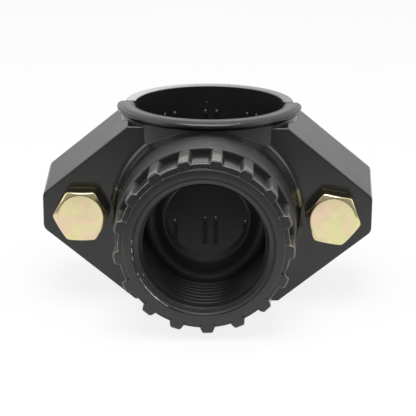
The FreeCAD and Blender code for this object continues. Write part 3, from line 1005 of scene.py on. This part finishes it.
def domes(angles, levels, radius, height, floor, rows=7, columns=20):
    """Dome at angle a and level z: rings of radius reach, at floor less lift from the axis."""
    rise = np.linspace(0.02, 1, rows) * np.pi / 2
    reach = np.append(radius * np.sin(rise), 0.02 * radius)
    lift = np.append(height * np.cos(rise), 0)
    turn = np.linspace(0, 2 * np.pi, columns, endpoint=False)
    a, z = (grid.reshape(-1, 1, 1) for grid in np.meshgrid(angles, levels, indexing="ij"))
    along = reach[:, None] * np.cos(turn)
    inward = floor - lift[:, None]
    x = inward * np.sin(a) + along * np.cos(a)
    y = inward * np.cos(a) - along * np.sin(a)
    return np.stack([x, y, z + reach[:, None] * np.sin(turn) + 0 * x], axis=-1)


pip_points = domes(pip_angles, pip_levels, pip_radius, pip_height, pip_floor)
pips, pip_rows, pip_columns = pip_points.shape[:3]
pip_size = pip_rows * pip_columns
one_pip = grid_faces(pip_rows, pip_columns)[:, ::-1]
pip_faces = (one_pip + (np.arange(pips) * pip_size)[:, None, None]).reshape(-1, 4)
tip_and_foot = (range(pip_columns), range(pip_size - pip_columns, pip_size)[::-1])
pip_caps = [[first + k for k in order] for first in range(0, pips * pip_size, pip_size)
            for order in tip_and_foot]
# The pips are painted pale grey: a painted highlight.
pip_highlight_finish = pale_plastic("pip_painted_highlight", (0.24, 0.241, 0.236), (0.32, 0.321, 0.315), (0.35, 0.5))
make_piece("grip_pips", pip_points, pip_faces, pip_caps, pip_highlight_finish, "strap_body")

# %% [markdown]
# ## Floor, light and background
#
# The photograph was taken on a white table under soft lamps, and its background is washed out to
# plain white. Light strong enough for that would bleach the part, so only the rays that the
# camera and the mirror reflections send out see the table and the world white. A small share of
# the table's real shading stays in, which keeps the shadow under the part. In mirror reflections
# alone the table fades far from the part, so that the glossy front faces mirror a darker table at
# their top, as they do in the photograph.

# %% What the camera and reflections see
def sees_background(tree):
    """1 for rays from the camera, from a glossy surface or through glass, otherwise 0."""
    path = add_node(tree, "LightPath")
    seen = path.outputs["Is Camera Ray"]
    for name in ("Is Glossy Ray", "Is Transmission Ray"):
        seen = larger(tree, seen, path.outputs[name])
    return seen


def white_for_camera(tree, value):
    """The value for mirror rays, and 1 for the rays that come straight from the camera."""
    return larger(tree, value, add_node(tree, "LightPath").outputs["Is Camera Ray"])


def mix_shaders(tree, share, first, second, output):
    """Join two shaders by a share and send the result to the output's surface."""
    mix = add_node(tree, "MixShader")
    tree.links.new(share, mix.inputs[0])
    tree.links.new(first, mix.inputs[1])
    tree.links.new(second, mix.inputs[2])
    tree.links.new(mix.outputs[0], tree.nodes[output].inputs["Surface"])


# %% Floor
floor_half = 3.0
floor_z = cad_low.z
white_share = 0.84
pool_middle = (0, 130 * MM, floor_z)
pool_near = 240 * MM
pool_far = 320 * MM
pool_edge_white = 0.2
plain_black, plain_white = (0, 0, 0), (1, 1, 1)
table_tones = ((0.92, 0.92, 0.92), (0.94, 0.94, 0.94))


def table_white(name):
    """White matt table whose own shading shows through a plain white that fades far away."""
    material, tree, shader, place = new_finish(name)
    fibres = clouds(tree, place, 30, 3, (0.3, 0.7))
    tree.links.new(blend_colours(tree, fibres, *table_tones), shader.inputs["Base Color"])
    shader.inputs["Roughness"].default_value = 0.9
    shader.inputs["Specular IOR Level"].default_value = 0.1
    away = add_node(tree, "VectorMath", {"operation": "DISTANCE"})
    tree.links.new(place, away.inputs[0])
    away.inputs[1].default_value = pool_middle
    pool = remap(tree, away.outputs["Value"], pool_near, pool_far, 1, pool_edge_white)
    plain = add_node(tree, "Emission")
    glow = blend_colours(tree, white_for_camera(tree, pool), plain_black, plain_white)
    tree.links.new(glow, plain.inputs["Color"])
    part = multiply(tree, sees_background(tree), white_share)
    mix_shaders(tree, part, shader.outputs[0], plain.outputs[0], "Material Output")
    return material


floor_mesh = bpy.data.meshes.new("floor")
floor_corners = [(x * floor_half, y * floor_half, floor_z)
                 for x, y in ((-1, -1), (1, -1), (1, 1), (-1, 1))]
floor_mesh.from_pydata(floor_corners, [], [(0, 1, 2, 3)])
floor_mesh.materials.append(table_white("table_white"))
floor = bpy.data.objects.new("floor", floor_mesh)
bpy.context.scene.collection.objects.link(floor)
floor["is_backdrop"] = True
print("floor at z =", round(floor_z / MM, 2), "mm")

# %% World
world_light = 0.42
horizon_white, horizon_fade = 0.58, (0.02, 0.22)
front_white, front_fade, overhead_fade = 0.3, (-0.65, -0.15), (0.72, 0.93)


def room_white(tree):
    """What mirrors see: white overhead and behind, dim along the horizon and all over the front."""
    direction = add_node(tree, "TexCoord").outputs["Generated"]
    steepness, depth = coordinate(tree, direction, "Z"), coordinate(tree, direction, "Y")
    horizon = remap(tree, steepness, *horizon_fade, horizon_white, 1)
    front = remap(tree, depth, *front_fade, 1, 0)
    lower = remap(tree, steepness, *overhead_fade, 1, 0)
    dim = remap(tree, multiply(tree, front, lower), 0, 1, 1, front_white)
    return multiply(tree, horizon, dim)


def white_world(strength):
    """Even light of the given strength, in which camera and mirror rays see the white room."""
    world = bpy.data.worlds.new("white_room")
    world.use_nodes = True
    tree = world.node_tree
    dim = tree.nodes["Background"]
    dim.inputs["Color"].default_value = (1, 1, 1, 1)
    dim.inputs["Strength"].default_value = strength
    bright = add_node(tree, "Background")
    tree.links.new(white_for_camera(tree, room_white(tree)), bright.inputs["Strength"])
    bright.inputs["Color"].default_value = (1, 1, 1, 1)
    mix_shaders(tree, sees_background(tree), dim.outputs[0], bright.outputs[0], "World Output")
    bpy.context.scene.world = world


white_world(world_light)
print("world light:", world_light)


# %% Lamps
def soft_lamp(name, place, aim, width, height, power):
    """Oblong area lamp at a place, turned to face a point."""
    lamp = bpy.data.objects.new(name, bpy.data.lights.new(name, "AREA"))
    bpy.context.scene.collection.objects.link(lamp)
    lamp.data.shape = "RECTANGLE"
    lamp.data.size = width
    lamp.data.size_y = height
    lamp.data.energy = power
    away = Vector(place) - Vector(aim)
    turned = away.to_track_quat("Z", "Y").to_matrix().to_4x4()
    lamp.matrix_world = Matrix.Translation(place) @ turned
    print(name, "gives", power, "W")


middle = (0, -0.01, 0)
soft_lamp("lamp_above", (0.0, -0.22, 0.85), middle, width=0.6, height=0.78, power=6.4)
soft_lamp("lamp_left", (-0.8, -0.25, 0.45), middle, width=0.4, height=0.4, power=0.9)
soft_lamp("lamp_right", (0.8, -0.2, 0.45), middle, width=0.4, height=0.4, power=0.8)
bpy.context.scene.view_settings.view_transform = "Standard"

# %% [markdown]
# ## Sizes
#
# Both boxes, of the solids and of the dressed part, are printed in millimetres. The dressed part
# must stay within the solids' box.

# %% Sizes
visual_low, visual_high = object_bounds()
sizes = {"cad": [list(cad_low), list(cad_high)], "visual": [list(visual_low), list(visual_high)]}
for key, box in sizes.items():
    print(key, "box in mm:", [[round(v / MM, 2) for v in corner] for corner in box])
